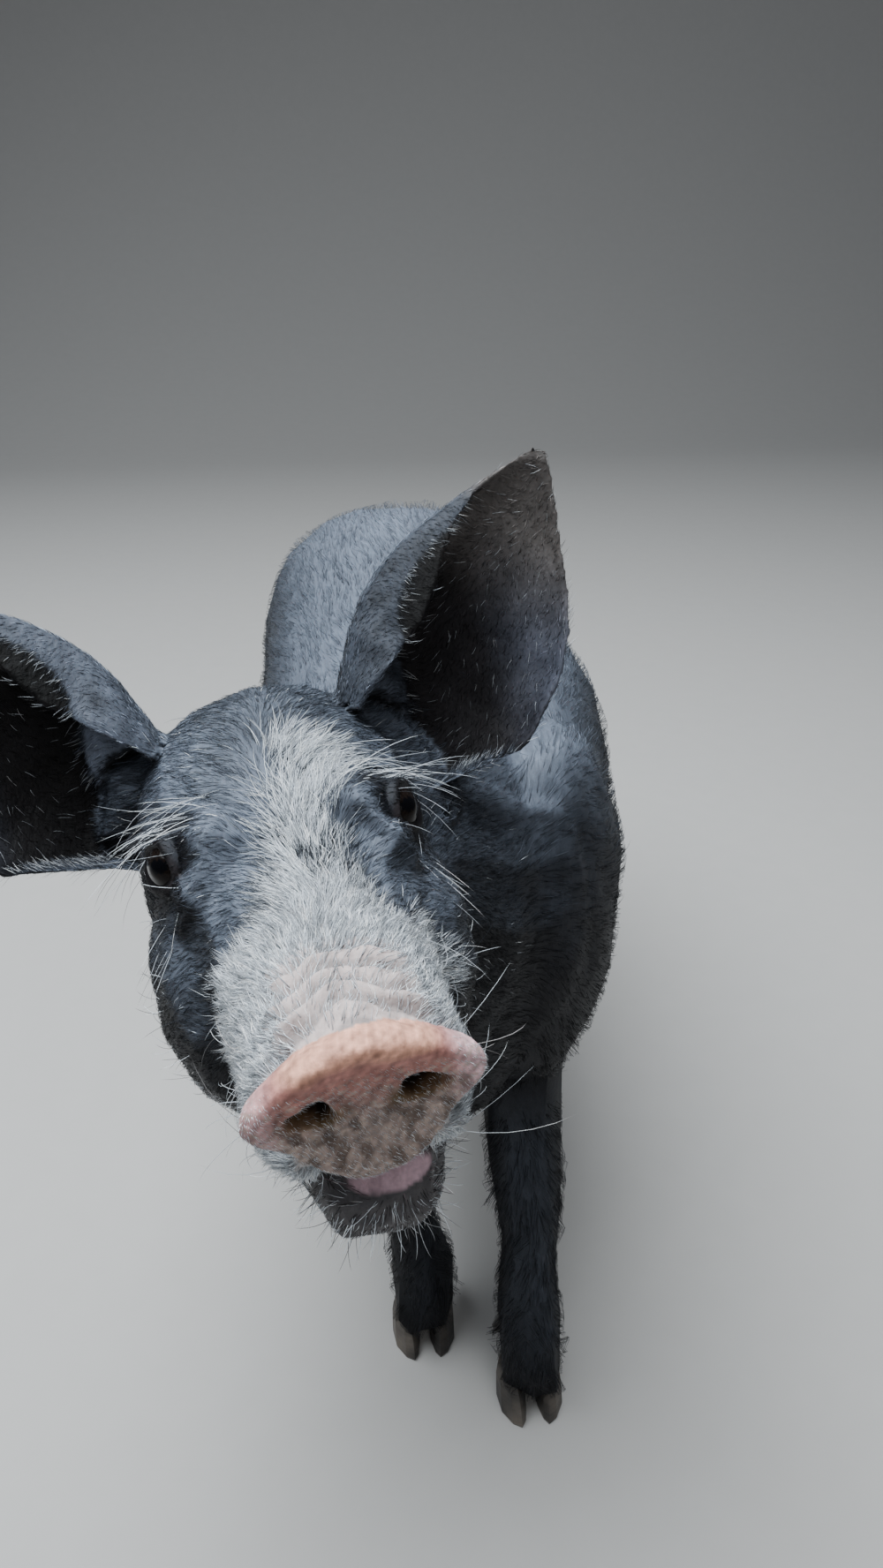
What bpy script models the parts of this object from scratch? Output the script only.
"""A young black pig, life-size and still: it stands with its head raised, turned and tilted.

The flesh is modelled whole. Closed shells for the trunk, neck, skull, jaw and limbs overlap, are
fused by a voxel remesh and softened, and the one body is then parted by thin cuts into named pieces.
Ears, snout plate, eyes, claws and tail are made apart, and fitted with the same thin gap.

Metres, +Z up. The body faces -Y, its left side is +X, and it stands on Z = 0.
"""

import math

import bmesh
import bpy
import numpy as np
from mathutils import Matrix, Vector

# --- driving sizes ---------------------------------------------------------------------------------
GAP = 0.0003  # between pieces that touch
BODY_FACES = 2200  # triangles of the fused flesh, before it is parted
VOXEL = 0.0038  # grid on which the shells are fused

WITHERS_Z = 0.488
BACK_Z = 0.500
CROUP_Z = 0.504
BRISKET_Z = 0.222
BELLY_Z = 0.206
CHEST_Y = -0.262  # foremost point of the breast
RUMP_Y = 0.418  # hindmost point of the buttocks
BARREL_HALF = 0.126  # half the width of the barrel
BEND_FROM = 0.020  # the spine runs straight behind here, and swings to the right before it
BEND_BY = 0.064  # how far the breast has swung

# The head's own frame: origin at the middle of the snout plate, +Y back along the muzzle.
SNOUT_AT = Vector((-0.082, -0.455, 0.500))
HEAD_TURN = math.radians(5.5)
HEAD_RAISE = math.radians(17.6)
HEAD_TILT = math.radians(7.7)
SNOUT_HALF = 0.0330  # half the width of the snout plate
SNOUT_ABOVE = 0.0208  # its height above and below the middle
SNOUT_BELOW = 0.0230
SNOUT_LEAN = math.radians(26)  # its upper rim stands ahead of its lower rim
NOSTRIL_X = 0.0150  # from the midline to a nostril's middle
NOSTRIL_HALF = 0.0058  # half its width
NOSTRIL_TALL = 0.0046  # half its height
SLANT_LONG = 0.060  # how far back along the muzzle that lean reaches
EYE_AT = Vector((0.0410, 0.1310, 0.0475))  # centre of the left eyeball, in the head's frame
EYE_RADIUS = 0.0112
EYE_GAZE = Vector((0.86, -0.48, 0.17))  # the way the left eye looks
EYE_SLIT = Vector((0.35, 0.93, 0.30))  # from its front corner to its back corner
LID = 0.0028  # thickness of the lids over the eyeball
MOUTH_CORNER = 0.072  # how far back along the muzzle the corners of the mouth lie

# The left ear from root to tip, in the head's frame: x and z of its inner and its outer outline,
# y, depth of the hollow, and how far (degrees) the inner margin rolls over to the front.
EAR_ROWS = [
    (0.0360, 0.0780, 0.0680, 0.0200, 0.194, 0.0220, 30),
    (0.0450, 0.1000, 0.0980, 0.0350, 0.196, 0.0240, 48),
    (0.0530, 0.1180, 0.1260, 0.0580, 0.197, 0.0230, 60),
    (0.0620, 0.1300, 0.1420, 0.0830, 0.197, 0.0200, 66),
    (0.0740, 0.1410, 0.1475, 0.1030, 0.197, 0.0165, 62),
    (0.0890, 0.1510, 0.1490, 0.1230, 0.196, 0.0120, 54),
    (0.1090, 0.1610, 0.1500, 0.1430, 0.195, 0.0075, 40),
    (0.1290, 0.1690, 0.1505, 0.1600, 0.193, 0.0035, 20),
    (0.1450, 0.1750, 0.1495, 0.1732, 0.191, 0.0006, 0),
]
EAR_THICK = 0.0056
EAR_THIN = 0.0026

# Where each foot stands (x, y): the left forefoot is a step ahead of the right.
FORE_FEET = {"left": (0.032, -0.216), "right": (-0.033, -0.158)}
HIND_FEET = {"left": (0.082, 0.262), "right": (-0.086, 0.322)}
SIDES = {"left": 1, "right": -1}

CLAW_LONG = 0.040
CLAW_WIDE = 0.0185
CLAW_TALL = 0.023
CLAW_SPREAD = 0.0108  # from the foot's middle to a main claw's middle
DEWCLAW_Z = 0.040
LEG_MARGIN = 0.016  # how far outside the leg the space parted off with it reaches
FORE_CUT = 0.085  # from the midline to the middle of that space, at its top
HIND_CUT = 0.085

TAIL_ROOT = Vector((0.0, 0.392, 0.442))
TAIL_LOOP = 0.021  # radius of its curl
TAIL_TURNS = 1.10
TAIL_THICK = 0.0078  # radius at the root
TAIL_THIN = 0.0028

COAT = (0.045, 0.047, 0.055)
PINK = (0.62, 0.36, 0.33)
HORN = (0.07, 0.065, 0.062)
EYE = (0.012, 0.009, 0.008)


# --- helpers ---------------------------------------------------------------------------------------
def clear_scene():
    for obj in list(bpy.data.objects):
        bpy.data.objects.remove(obj, do_unlink=True)


def material(name, colour, roughness):
    made = bpy.data.materials.new(name)
    made.use_nodes = True
    shader = made.node_tree.nodes["Principled BSDF"]
    shader.inputs["Base Color"].default_value = (*colour, 1)
    shader.inputs["Roughness"].default_value = roughness
    shader.inputs["Metallic"].default_value = 0
    return made


def new_object(name, points, faces, finish=None):
    mesh = bpy.data.meshes.new(name)
    mesh.from_pydata([tuple(p) for p in points], [], faces)
    mesh.validate()
    mesh.update()
    obj = bpy.data.objects.new(name, mesh)
    bpy.context.scene.collection.objects.link(obj)
    if finish:
        mesh.materials.append(finish)
    return obj


def through(keys, count):
    """A smooth run of `count` rows through the rows of keys, by Catmull-Rom splines."""
    rows = np.array(keys, float)
    ends = np.vstack([2 * rows[0] - rows[1], rows, 2 * rows[-1] - rows[-2]])
    made = []
    for t in np.linspace(0, len(rows) - 1, count):
        i = min(int(t), len(rows) - 2)
        a, b, c, d = ends[i : i + 4]
        u = t - i
        square, cube = 2 * a - 5 * b + 4 * c - d, 3 * b - a - 3 * c + d
        made.append(0.5 * (2 * b + (c - a) * u + square * u**2 + cube * u**3))
    return np.array(made)


def outline(half, top, bottom, square=2.2, count=24):
    """A closed cross-section: (across, up) pairs of a superellipse with its own top and bottom."""
    middle, tall = (top + bottom) / 2, (top - bottom) / 2
    turns = [2 * math.pi * i / count for i in range(count)]

    def rounded(v):
        return math.copysign(abs(v) ** (2 / square), v)

    return [(half * rounded(math.cos(t)), middle + tall * rounded(math.sin(t))) for t in turns]


def closed_tube(rings):
    """Points and faces of a shell through rings of equal length, its ends closed by fans."""
    count = len(rings[0])
    points = [Vector(p) for ring in rings for p in ring]
    faces = []
    for r in range(len(rings) - 1):
        for i in range(count):
            a, b = r * count + i, r * count + (i + 1) % count
            faces.append((a, b, b + count, a + count))
    for ring, turned in ((0, True), (len(rings) - 1, False)):
        hub = len(points)
        points.append(sum((Vector(p) for p in rings[ring]), Vector()) / count)
        for i in range(count):
            a, b = ring * count + i, ring * count + (i + 1) % count
            faces.append((b, a, hub) if turned else (a, b, hub))
    return points, faces


def facing_out(points, faces):
    """The shell with its faces turned to point outwards, by the sign of its volume."""
    volume = 0.0
    for face in faces:
        first = Vector(points[face[0]])
        for i in range(1, len(face) - 1):
            volume += first.dot(Vector(points[face[i]]).cross(Vector(points[face[i + 1]])))
    return (points, faces) if volume > 0 else (points, [tuple(reversed(f)) for f in faces])


def along_y(keys, count=26, square=2.2, sides=24):
    """A shell along Y from rows of (y, top, bottom, half width)."""
    rings = []
    for y, top, bottom, half in through(keys, count):
        rings.append([(x, y, z) for x, z in outline(half, top, bottom, square, sides)])
    return facing_out(*closed_tube(rings))


def limb(keys, count=22, sides=16):
    """A shell down a leg from rows of (x, y, z, half width, half depth), its rings level."""
    rings = []
    for x, y, z, half, deep in through(keys, count):
        turns = [2 * math.pi * i / sides for i in range(sides)]
        rings.append([(x + half * math.cos(t), y + deep * math.sin(t), z) for t in turns])
    return facing_out(*closed_tube(rings))


def bent_tube(keys, count=24, sides=20, square=2.0):
    """A shell round a bent line from rows of (x, y, z, half width, half height)."""
    rows = through(keys, count)
    rings = []
    for i, (x, y, z, half, tall) in enumerate(rows):
        before, after = rows[max(i - 1, 0)][:3], rows[min(i + 1, count - 1)][:3]
        ahead = Vector(after - before).normalized()
        across = ahead.cross(Vector((0, 0, 1))).normalized()
        up = across.cross(ahead)
        centre = Vector((x, y, z))
        section = outline(half, tall, -tall, square, sides)
        rings.append([centre + across * a + up * b for a, b in section])
    return facing_out(*closed_tube(rings))


def ball(centre, radii, turn=None, steps=14):
    """An ellipsoid; turn is a rotation about its own middle."""
    rings = []
    for i in range(1, steps):
        polar = math.pi * i / steps
        ring = []
        for j in range(2 * steps):
            t = math.pi * j / steps
            ring.append((math.sin(polar) * math.cos(t), math.sin(polar) * math.sin(t), math.cos(polar)))
        rings.append(ring)
    points, faces = closed_tube(rings)
    points[-2], points[-1] = Vector((0, 0, 1)), Vector((0, 0, -1))
    points, faces = facing_out(points, faces)
    turn = turn or Matrix.Identity(3)
    return [Vector(centre) + turn @ Vector(map(lambda c, r: c * r, p, radii)) for p in points], faces


def placed(shell, frame):
    return [frame @ Vector(p) for p in shell[0]], shell[1]


def mirrored(shell):
    return facing_out([Vector((-p[0], p[1], p[2])) for p in shell[0]], shell[1])


def joined(shells):
    points, faces = [], []
    for some_points, some_faces in shells:
        start = len(points)
        points += some_points
        faces += [tuple(start + i for i in face) for face in some_faces]
    return points, faces


def settle(obj):
    """Applies the object's modifiers to its mesh."""
    graph = bpy.context.evaluated_depsgraph_get()
    made = bpy.data.meshes.new_from_object(obj.evaluated_get(graph))
    obj.modifiers.clear()
    obj.data = made
    return obj


def copy_of(obj, name):
    other = bpy.data.objects.new(name, obj.data.copy())
    bpy.context.scene.collection.objects.link(other)
    return other


def grown(obj, by=GAP):
    """A copy whose faces stand `by` further out, to cut a neighbour with."""
    other = copy_of(obj, obj.name + "_grown")
    swell = other.modifiers.new("swell", "DISPLACE")
    swell.strength = by
    swell.mid_level = 0
    return settle(other)


def combine(obj, other, operation):
    """A Boolean of obj with other, applied at once, which uses other up."""
    cut = obj.modifiers.new("cut", "BOOLEAN")
    cut.operation = operation
    cut.object = other
    settle(obj)
    bpy.data.objects.remove(other, do_unlink=True)
    return obj


def box(low, high, frame):
    """A box as a shell, from its low corner to its high corner in a frame."""
    (x0, y0, z0), (x1, y1, z1) = low, high
    points = [Vector((x, y, z)) for x in (x0, x1) for y in (y0, y1) for z in (z0, z1)]
    faces = [(0, 1, 3, 2), (4, 6, 7, 5), (0, 4, 5, 1), (2, 3, 7, 6), (0, 2, 6, 4), (1, 5, 7, 3)]
    return facing_out(*placed((points, faces), frame))


def part_off(rest, name, shell, finish):
    """Cuts the flesh inside a closed shell off `rest`, as a piece of its own behind a thin gap."""
    piece = copy_of(rest, name)
    within = new_object("within", *shell)
    beyond = grown(within, 1.6 * GAP)
    combine(piece, within, "INTERSECT")
    combine(rest, beyond, "DIFFERENCE")
    keep_largest(rest)
    piece.data.materials.clear()
    piece.data.materials.append(finish)
    return piece


def soften(points, edges, steps, share):
    """Taubin smoothing, which rounds creases and keeps the volume; share is 0 to 1 for each point."""
    count = len(points)
    ends = np.concatenate([edges[:, 0], edges[:, 1]])
    others = np.concatenate([edges[:, 1], edges[:, 0]])
    neighbours = np.bincount(ends, minlength=count)
    for _ in range(steps):
        for push in (0.60, -0.61):
            total = [np.bincount(ends, points[others, axis], count) for axis in range(3)]
            middle = np.stack(total, axis=1) / neighbours[:, None]
            points = points + (push * share)[:, None] * (middle - points)
    return points


# --- the head's frame ------------------------------------------------------------------------------
HEAD = (
    Matrix.Translation(SNOUT_AT)
    @ Matrix.Rotation(HEAD_TURN, 4, "Z")
    @ Matrix.Rotation(-HEAD_RAISE, 4, "X")
    @ Matrix.Rotation(-HEAD_TILT, 4, "Y")
)


# --- shells of flesh -------------------------------------------------------------------------------
def trunk_shells():
    barrel = along_y(
        [
            (CHEST_Y, 0.378, 0.335, 0.024),
            (CHEST_Y + 0.018, 0.418, 0.288, 0.056),
            (-0.200, 0.463, 0.245, 0.087),
            (-0.130, WITHERS_Z, BRISKET_Z, 0.111),
            (-0.040, 0.491, 0.209, 0.122),
            (0.060, BACK_Z, BELLY_Z, BARREL_HALF),
            (0.150, CROUP_Z, 0.214, 0.123),
            (0.230, 0.503, 0.240, 0.118),
            (0.310, 0.488, 0.275, 0.110),
            (0.370, 0.458, 0.300, 0.088),
            (RUMP_Y - 0.012, 0.418, 0.335, 0.056),
            (RUMP_Y, 0.390, 0.355, 0.026),
        ],
        count=40,
        square=2.25,
        sides=32,
    )
    ham_turn = Matrix.Rotation(math.radians(-16), 3, "X")
    ham = ball((0.062, 0.285, 0.345), (0.062, 0.118, 0.125), ham_turn)
    shoulder_turn = Matrix.Rotation(math.radians(14), 3, "X")
    shoulder = ball((0.070, -0.140, 0.345), (0.052, 0.088, 0.128), shoulder_turn)
    breast = ball((0.0, -0.190, 0.300), (0.072, 0.062, 0.066))
    tail_head = ball((0.0, 0.372, 0.432), (0.034, 0.036, 0.028))
    pairs = [ham, mirrored(ham), shoulder, mirrored(shoulder)]
    return [swung(shell) for shell in [barrel, *pairs, breast, tail_head]]


def neck_shells():
    nape, nape_end = HEAD @ Vector((0, 0.190, 0.008)), HEAD @ Vector((0, 0.135, 0.005))
    throat, throat_end = HEAD @ Vector((0, 0.190, -0.040)), HEAD @ Vector((0, 0.125, -0.036))
    neck = bent_tube(
        [
            (-0.004, -0.040, 0.365, 0.100, 0.114),
            (-0.022, -0.115, 0.368, 0.101, 0.118),
            (-0.052, -0.180, 0.388, 0.092, 0.111),
            (-0.080, -0.226, 0.420, 0.078, 0.099),
            (*nape, 0.062, 0.084),
            (*nape_end, 0.036, 0.050),
        ],
        count=28,
    )
    throat = bent_tube(
        [
            (-0.020, -0.110, 0.320, 0.074, 0.072),
            (-0.048, -0.190, 0.340, 0.066, 0.064),
            (-0.076, -0.235, 0.370, 0.058, 0.055),
            (*throat, 0.050, 0.044),
            (*throat_end, 0.024, 0.022),
        ],
        count=28,
    )
    return [neck, throat]


def slanted(shell, share=1.0):
    """The front of the muzzle sheared, so that its upper rim stands ahead of its lower one."""
    slope = math.tan(SNOUT_LEAN) * share
    points, faces = shell
    return [Vector((x, y - slope * z * max(1 - y / SLANT_LONG, 0), z)) for x, y, z in points], faces


def head_shells():
    skull = along_y(
        [
            (0.006, 0.0205, -0.0200, 0.0260),
            (0.018, 0.0265, -0.0215, 0.0300),
            (0.045, 0.0320, -0.0260, 0.0335),
            (0.075, 0.0405, -0.0290, 0.0375),
            (0.100, 0.0500, -0.0310, 0.0440),
            (0.125, 0.0640, -0.0330, 0.0510),
            (0.150, 0.0800, -0.0350, 0.0570),
            (0.180, 0.0940, -0.0380, 0.0600),
            (0.210, 0.1010, -0.0380, 0.0600),
            (0.235, 0.0960, -0.0340, 0.0560),
            (0.258, 0.0800, -0.0240, 0.0420),
        ],
        count=30,
        square=2.35,
        sides=28,
    )
    jaw = along_y(
        [
            (0.011, -0.0290, -0.0385, 0.0125),
            (0.018, -0.0240, -0.0435, 0.0185),
            (0.045, -0.0180, -0.0490, 0.0245),
            (0.080, -0.0120, -0.0570, 0.0330),
            (0.115, -0.0080, -0.0660, 0.0420),
            (0.150, 0.0000, -0.0760, 0.0500),
            (0.185, 0.0100, -0.0800, 0.0520),
            (0.215, 0.0100, -0.0720, 0.0460),
        ],
        count=24,
        square=2.3,
    )
    cheek = ball((0.0310, 0.150, -0.008), (0.0340, 0.072, 0.048))
    orbit = ball((0.0335, 0.132, 0.0400), (0.0200, 0.036, 0.0240))
    brow_turn = Matrix.Rotation(math.radians(24), 3, "Y")
    brow = ball((0.0300, 0.134, 0.0540), (0.0200, 0.034, 0.0110), brow_turn)
    lids = ball(EYE_AT, (EYE_RADIUS + LID,) * 3)
    flew = ball((0.0205, 0.040, -0.010), (0.0150, 0.036, 0.0160))
    jowl = ball((0.0320, 0.200, -0.0420), (0.0250, 0.046, 0.0350))
    root_turn = Matrix.Rotation(math.radians(42), 3, "Y")
    ear_root = ball((0.0500, 0.213, 0.0600), (0.0310, 0.018, 0.0220), root_turn)
    shells = [slanted(skull), slanted(jaw, 0.5)]
    for shell in (cheek, orbit, brow, lids, flew, jowl, ear_root):
        shells += [shell, mirrored(shell)]
    return [placed(shell, HEAD) for shell in shells]


def swing(y):
    """How far the body has swung to the right at y."""
    return -BEND_BY * min(max((BEND_FROM - y) / (BEND_FROM - CHEST_Y), 0.0), 1.0) ** 1.5


def swung(shell):
    return [Vector((p[0] + swing(p[1]), p[1], p[2])) for p in shell[0]], shell[1]


def foreleg_rows(side, foot):
    """Rows for `limb` down a foreleg."""
    x, y = foot
    top = Vector((0.058 * side + swing(-0.130), -0.130))
    foot_at = Vector((x, y + 0.008))
    return [
        (*top, 0.345, 0.032, 0.068),
        (*top, 0.290, 0.036, 0.061),
        (*top.lerp(foot_at, 0.12), 0.245, 0.0320, 0.0450),
        (*top.lerp(foot_at, 0.42), 0.195, 0.0255, 0.0310),
        (*top.lerp(foot_at, 0.68), 0.150, 0.0235, 0.0260),
        (*top.lerp(foot_at, 0.86), 0.108, 0.0190, 0.0210),
        (x, y + 0.009, 0.070, 0.0220, 0.0240),
        (x, y + 0.005, 0.046, 0.0220, 0.0240),
        (x, y, 0.026, 0.0225, 0.0240),
        (x, y, 0.017, 0.0190, 0.0190),
    ]


def hind_leg_rows(side, foot):
    """Rows for `limb` down a hind leg."""
    x, y = foot
    hock_y = y + 0.040
    return [
        (0.072 * side, 0.262, 0.370, 0.040, 0.085),
        (0.078 * side, 0.262, 0.315, 0.046, 0.082),
        (0.080 * side, 0.270, 0.265, 0.041, 0.066),
        (0.6 * x + 0.032 * side, 0.5 * (0.285 + hock_y), 0.218, 0.030, 0.044),
        (x, hock_y, 0.180, 0.0225, 0.0300),
        (x, hock_y - 0.006, 0.150, 0.0200, 0.0235),
        (x, hock_y - 0.018, 0.108, 0.0185, 0.0210),
        (x, y + 0.012, 0.070, 0.0225, 0.0240),
        (x, y + 0.005, 0.046, 0.0220, 0.0240),
        (x, y, 0.026, 0.0225, 0.0240),
        (x, y, 0.017, 0.0190, 0.0190),
    ]


def leg_region(rows, top, high, low):
    """The space round a leg: level and wide at its top, then down the leg's rows with room to spare."""
    x, y, half, deep = top
    made = [(x, y, high, half, deep), (x, y, low, half, deep)]
    made += [(x, y, z, half + LEG_MARGIN, deep + LEG_MARGIN) for x, y, z, half, deep in rows]
    x, y, z, half, deep = made[-1]
    made[-1] = (x, y, z - LEG_MARGIN, half, deep)
    return limb(made, count=len(made), sides=12)


def hock_shell(side, foot):
    """The point of the hock and the tendon that runs up from it."""
    x, y = foot
    return limb(
        [
            (x, y + 0.052, 0.158, 0.0100, 0.0120),
            (x, y + 0.062, 0.190, 0.0105, 0.0130),
            (x * 0.7 + 0.024 * side, y * 0.4 + 0.218, 0.228, 0.0090, 0.0140),
            (0.080 * side, 0.322, 0.285, 0.0080, 0.0200),
        ],
        count=12,
        sides=12,
    )


def fused_flesh():
    """The one body: all shells fused on a fine grid, softened, and thinned to few triangles."""
    shells = trunk_shells() + neck_shells() + head_shells()
    for side, sign in SIDES.items():
        shells.append(limb(foreleg_rows(sign, FORE_FEET[side])))
        shells.append(limb(hind_leg_rows(sign, HIND_FEET[side])))
        shells.append(hock_shell(sign, HIND_FEET[side]))
    flesh = new_object("flesh", *joined(shells))
    grid = flesh.modifiers.new("fuse", "REMESH")
    grid.mode = "VOXEL"
    grid.voxel_size = VOXEL
    settle(flesh)

    mesh = flesh.data
    points = np.empty(len(mesh.vertices) * 3)
    mesh.vertices.foreach_get("co", points)
    points = points.reshape(-1, 3)
    edges = np.empty(len(mesh.edges) * 2, int)
    mesh.edges.foreach_get("vertices", edges)
    edges = edges.reshape(-1, 2)

    in_head = (points - np.array(HEAD.translation)) @ np.array(HEAD.to_3x3())
    head_share = np.clip((0.225 - in_head[:, 1]) / 0.05, 0, 1)
    head_share *= np.clip((0.115 - abs(in_head[:, 0])) / 0.03, 0, 1)
    head_share *= np.clip((in_head[:, 2] + 0.14) / 0.03, 0, 1)
    low_share = np.clip((0.230 - points[:, 2]) / 0.05, 0, 1)
    broad = (1 - head_share) * (1 - low_share)
    points = soften(points, edges, 140, broad)
    points = soften(points, edges, 30, np.ones(len(points)))
    mesh.vertices.foreach_set("co", points.astype(np.float32).ravel())
    mesh.update()

    thin = flesh.modifiers.new("thin", "DECIMATE")
    thin.ratio = BODY_FACES / (2 * len(mesh.polygons))
    thin.use_collapse_triangulate = True
    return settle(flesh)


# --- pieces made apart -----------------------------------------------------------------------------
def ear_shell():
    """The left ear, in the head's frame: a leaf round its hollow, its inner margin rolled over."""
    across = 11
    rows = through(EAR_ROWS, 10)
    grid = []
    for in_x, in_z, out_x, out_z, y, deep, curl in rows:
        ahead = 0.07 * math.hypot(out_x - in_x, out_z - in_z)  # the outer margin stands a little forward
        inner, outer = Vector((in_x, y + ahead, in_z)), Vector((out_x, y - ahead, out_z))
        centre, wide = (inner + outer) / 2, (outer - inner).length / 2
        side = (outer - inner).normalized()
        back = side.cross(Vector((0, 1, 0))).cross(side).normalized()
        if back.y < 0:
            back = -back
        run = []
        for i in range(across):
            turn = math.radians(-curl + (180 + curl) * i / (across - 1))
            run.append(centre - side * (wide * math.cos(turn)) + back * (deep * math.sin(turn)))
        grid.append(run)
    count = len(grid)
    front, behind = [], []
    for r in range(count):
        thick = EAR_THICK + (EAR_THIN - EAR_THICK) * r / (count - 1)
        ring_front, ring_behind = [], []
        for i in range(across):
            here = grid[r][i]
            side = grid[r][min(i + 1, across - 1)] - grid[r][max(i - 1, 0)]
            rise = grid[min(r + 1, count - 1)][i] - grid[max(r - 1, 0)][i]
            normal = side.cross(rise).normalized()
            edge = abs(2 * i / (across - 1) - 1)
            half = 0.5 * thick * (1 - 0.4 * edge**4)
            ring_front.append(here + normal * half)
            ring_behind.append(here - normal * half)
        front.append(ring_front)
        behind.append(ring_behind)
    rings = [front[r] + behind[r][::-1] for r in range(count)]
    return facing_out(*closed_sheet(rings, across))


def closed_sheet(rings, across):
    """Closes a thin sheet given as rings that run along its front and come back along its back."""
    count = len(rings[0])
    points = [p for ring in rings for p in ring]
    faces = []
    for r in range(len(rings) - 1):
        for i in range(count):
            a, b = r * count + i, r * count + (i + 1) % count
            faces.append((a, b, b + count, a + count))
    for r, turned in ((0, True), (len(rings) - 1, False)):
        for i in range(across - 1):
            a, b = r * count + i, r * count + i + 1
            c, d = r * count + count - 2 - i, r * count + count - 1 - i
            faces.append((d, c, b, a) if turned else (a, b, c, d))
    return points, faces


def snout_shell():
    """The rostral plate: a rimmed, faintly hollow disc, flatter above and narrower below."""
    # y, and size of the ring
    rings = [
        (-0.0002, 0.30),
        (-0.0008, 0.62),
        (-0.0022, 0.84),
        (-0.0020, 0.94),
        (0.0000, 0.99),
        (0.0026, 1.00),
        (0.0060, 0.97),
        (0.0090, 0.88),
        (0.0105, 0.60),
    ]
    made = []
    for y, size in rings:
        ring = []
        for i in range(24):
            t = 2 * math.pi * i / 24
            upper = math.sin(t) > 0
            power = 2 / 2.35 if upper else 2 / 1.95
            tall = SNOUT_ABOVE if upper else SNOUT_BELOW
            x = SNOUT_HALF * math.copysign(abs(math.cos(t)) ** power, math.cos(t))
            z = tall * math.copysign(abs(math.sin(t)) ** power, math.sin(t))
            ring.append((x * size, y, z * size))
        made.append(ring)
    return placed(facing_out(*closed_tube(made)), Matrix.Rotation(SNOUT_LEAN, 4, "X"))


def eye_opening(sign):
    """What is taken out of the lids in front of the eyeball: an ellipsoid that slants with the lids."""
    gaze = EYE_GAZE.normalized()
    along = (EYE_SLIT - gaze * EYE_SLIT.dot(gaze)).normalized()
    turn = Matrix((gaze, along, gaze.cross(along))).transposed()
    shell = ball(EYE_AT + gaze * (EYE_RADIUS + 0.0005), (0.0080, 0.0112, 0.0074), turn, steps=8)
    return shell if sign > 0 else mirrored(shell)


def mouth_slit():
    """The slit between the lips, from corner to corner round the front; it rises towards the corners."""
    half = 0.050  # wider than the muzzle
    rings = []
    for y, z in ((-0.020, -0.0262), (0.020, -0.0250), (0.050, -0.0215), (MOUTH_CORNER, -0.0170)):
        tall = 0.0006 + 0.0011 * (MOUTH_CORNER - y) / 0.092
        low, high = z - tall, z + tall
        rings.append([(half, y, high), (-half, y, high), (-half, y, low), (half, y, low)])
    return facing_out(*closed_tube(rings))


def nostril_shell(sign):
    """A blind oval hole that runs back, up and outwards."""
    rings = []
    for y, size in ((-0.006, 1.10), (-0.002, 1.05), (0.003, 0.86), (0.0070, 0.55)):
        middle = sign * (NOSTRIL_X + 0.08 * y)
        turns = [2 * math.pi * i / 12 for i in range(12)]
        half, tall = NOSTRIL_HALF * size, NOSTRIL_TALL * size
        rings.append([(middle + half * math.cos(t), y, tall * math.sin(t)) for t in turns])
    return placed(facing_out(*closed_tube(rings)), Matrix.Rotation(SNOUT_LEAN, 4, "X"))


def claw_shell(at, sign, splay):
    """A main claw: flat sole on the floor, straight inner wall, sloping front wall, toe ahead (-Y)."""
    # height, share of length, share of width, shift back of the ring
    rows = [
        (0.0000, 0.97, 0.96, 0.0),
        (0.0020, 1.00, 1.00, 0.0),
        (0.0100, 0.92, 0.97, 0.0030),
        (0.0180, 0.80, 0.92, 0.0064),
        (CLAW_TALL, 0.64, 0.80, 0.0092),
        (CLAW_TALL + 0.004, 0.42, 0.52, 0.0100),
    ]
    rings = []
    for z, long, wide, back in rows:
        ring = []
        for i in range(10):
            t = 2 * math.pi * i / 10
            ahead = math.cos(t)
            across = math.sin(t)
            if across * sign < 0:
                across *= 0.62  # the side next to the cleft is nearly straight
            narrow = 1 - 0.30 * max(ahead, 0) ** 2
            x = across * narrow * wide * CLAW_WIDE / 1.62  # 1 outside and 0.62 inside make its width
            ring.append((x, -ahead * long * CLAW_LONG / 2 + back, z))
        rings.append(ring)
    place = Matrix.Translation((at[0] + sign * CLAW_SPREAD, at[1] - 0.006, 0))
    frame = place @ Matrix.Rotation(splay, 4, "Z")
    return placed(facing_out(*closed_tube(rings)), frame)


def dewclaw_shell(at, sign):
    """A small claw behind the fetlock, clear of the floor."""
    tip = Vector((at[0] + sign * 0.0165, at[1] + 0.0330, DEWCLAW_Z - 0.0150))
    root = Vector((at[0] + sign * 0.0120, at[1] + 0.0165, DEWCLAW_Z + 0.0100))
    rows = []
    for share, radius in ((0.0, 0.0058), (0.35, 0.0068), (0.7, 0.0058), (0.95, 0.0034), (1.0, 0.0016)):
        p = root.lerp(tip, share)
        rows.append((*p, radius, radius * 0.85))
    return bent_tube(rows, count=5, sides=7)


def tail_rows():
    """Rows (x, y, z, radius) of the tail: out of the rump, one loop to the side, and a hanging end."""
    rows = []
    steps = 21
    for i in range(steps + 1):
        s = i / steps
        turn = 2 * math.pi * TAIL_TURNS * s**1.5
        back = 0.004 + 0.060 * (1 - (1 - min(s / 0.55, 1)) ** 2) + 0.004 * s
        x = 0.026 * s**2 + TAIL_LOOP * 0.9 * math.sin(turn)
        z = -0.010 * s - TAIL_LOOP * (1 - math.cos(turn)) - 0.020 * max(s - 0.8, 0)
        radius = TAIL_THICK + (TAIL_THIN - TAIL_THICK) * s**0.8
        place = TAIL_ROOT + Vector((x, back - 0.016, z + 0.004))
        rows.append((*place, radius))
    return rows


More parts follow.
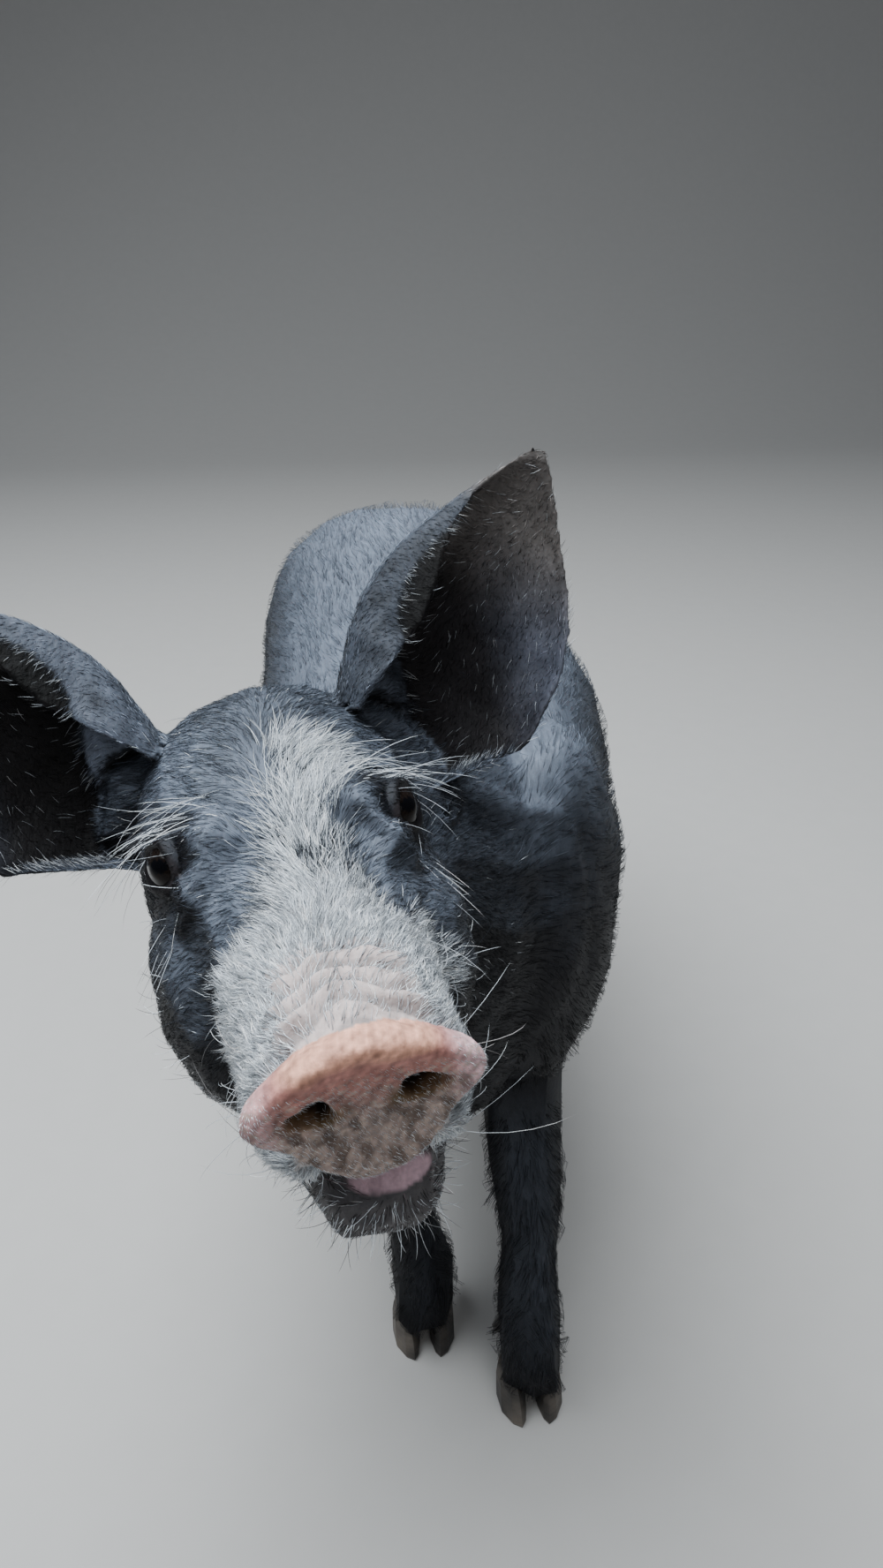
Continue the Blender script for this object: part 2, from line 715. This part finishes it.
def round_tube(rows, sides=7):
    """A shell round a line that may turn any way: the frame is carried along it without twist."""
    centres = [Vector(row[:3]) for row in rows]
    across = Vector((1, 0, 0))
    rings = []
    for i, row in enumerate(rows):
        ahead = (centres[min(i + 1, len(rows) - 1)] - centres[max(i - 1, 0)]).normalized()
        across = (across - ahead * across.dot(ahead)).normalized()
        up = ahead.cross(across)
        turns = [2 * math.pi * k / sides for k in range(sides)]
        rings.append([centres[i] + (across * math.cos(t) + up * math.sin(t)) * row[3] for t in turns])
    return facing_out(*closed_tube(rings))


# --- assembly --------------------------------------------------------------------------------------
def make_feet(flesh, horn):
    """Main claws and dewclaws for the four feet; the flesh is cut back round each."""
    for pair, feet in (("fore", FORE_FEET), ("hind", HIND_FEET)):
        for side in SIDES:
            at = feet[side]
            for place, sign in (("inner", -SIDES[side]), ("outer", SIDES[side])):
                name = f"{pair}_{side}_{place}"
                claw = new_object(f"claw_{name}", *claw_shell(at, sign, -sign * math.radians(5)), horn)
                combine(flesh, grown(claw), "DIFFERENCE")
                dewclaw = new_object(f"dewclaw_{name}", *dewclaw_shell(at, sign), horn)
                combine(flesh, grown(dewclaw), "DIFFERENCE")


def make_eyes_and_snout(flesh, eye_finish, pink):
    for side, sign in SIDES.items():
        centre = Vector((EYE_AT.x * sign, EYE_AT.y, EYE_AT.z))
        eyeball = placed(ball(centre, (EYE_RADIUS,) * 3, steps=8), HEAD)
        eye = new_object(f"eye_{side}", *eyeball, eye_finish)
        combine(flesh, grown(eye), "DIFFERENCE")
        combine(flesh, new_object("opening", *placed(eye_opening(sign), HEAD)), "DIFFERENCE")
    combine(flesh, new_object("mouth", *placed(mouth_slit(), HEAD)), "DIFFERENCE")
    snout = new_object("snout", *placed(snout_shell(), HEAD), pink)
    combine(flesh, grown(snout), "DIFFERENCE")
    for sign in SIDES.values():
        combine(snout, new_object("nostril", *placed(nostril_shell(sign), HEAD)), "DIFFERENCE")
    return snout


def make_ears(flesh, coat):
    for side, sign in SIDES.items():
        shell = ear_shell() if sign > 0 else mirrored(ear_shell())
        ear = new_object(f"ear_{side}", *placed(shell, HEAD), coat)
        combine(ear, grown(flesh, 2 * GAP), "DIFFERENCE")
        keep_largest(ear)


def keep_largest(obj):
    """Leaves only the largest loose body of the mesh."""
    work = bmesh.new()
    work.from_mesh(obj.data)
    left, islands = set(work.verts), []
    while left:
        island, edge = set(), [left.pop()]
        while edge:
            vert = edge.pop()
            island.add(vert)
            near = [e.other_vert(vert) for e in vert.link_edges]
            fresh = [v for v in near if v in left]
            left.difference_update(fresh)
            edge += fresh
        islands.append(island)
    biggest = max(islands, key=len)
    bmesh.ops.delete(work, geom=[v for v in work.verts if v not in biggest], context="VERTS")
    work.to_mesh(obj.data)
    work.free()


def make_tail(flesh, coat):
    tail = new_object("tail_root", *round_tube(tail_rows()), coat)
    combine(tail, grown(flesh), "DIFFERENCE")
    keep_largest(tail)


def part_flesh(flesh, coat):
    """Thin cuts through the one body: head, neck and legs come off, and the trunk is what is left."""
    wide = 0.32
    part_off(flesh, "head", box((-wide, -0.10, -0.125), (wide, 0.182, wide), head_cut()), coat)
    part_off(flesh, "neck", box((-wide, -0.30, -0.16), (wide, 0.0, wide), neck_cut()), coat)
    for side, sign in SIDES.items():
        fore, hind = foreleg_rows(sign, FORE_FEET[side]), hind_leg_rows(sign, HIND_FEET[side])
        top = (FORE_CUT * sign + swing(-0.130), -0.130, 0.065, 0.078)
        part_off(flesh, f"foreleg_{side}", leg_region(fore[3:], top, 0.264, 0.226), coat)
        top = (HIND_CUT * sign, 0.264, 0.068, 0.098)
        part_off(flesh, f"hind_leg_{side}", leg_region(hind[3:], top, 0.296, 0.256), coat)
    flesh.name = "trunk"
    flesh.data.materials.clear()
    flesh.data.materials.append(coat)


def head_cut():
    return HEAD @ Matrix.Rotation(math.radians(-6), 4, "X")


def neck_cut():
    """A slope from before the withers down to the breast."""
    return Matrix.Translation((0, -0.150, 0.400)) @ Matrix.Rotation(math.radians(-24), 4, "X")


def centre_on_floor():
    """Moves the meshes so that the origin is under the middle of the whole, on the floor."""
    low, high = Vector((1e9,) * 3), Vector((-1e9,) * 3)
    for obj in bpy.data.objects:
        for vert in obj.data.vertices:
            low = Vector(map(min, low, vert.co))
            high = Vector(map(max, high, vert.co))
    shift = Matrix.Translation((-(low.x + high.x) / 2, -(low.y + high.y) / 2, -low.z))
    for obj in bpy.data.objects:
        obj.data.transform(shift)
        obj.data.shade_smooth()


def main():
    clear_scene()
    coat = material("coat", COAT, 0.55)
    pink = material("snout_skin", PINK, 0.45)
    horn = material("horn", HORN, 0.5)
    eye_finish = material("eye", EYE, 0.08)
    flesh = fused_flesh()
    make_ears(flesh, coat)
    make_tail(flesh, coat)
    make_eyes_and_snout(flesh, eye_finish, pink)
    make_feet(flesh, horn)
    part_flesh(flesh, coat)
    centre_on_floor()


main()
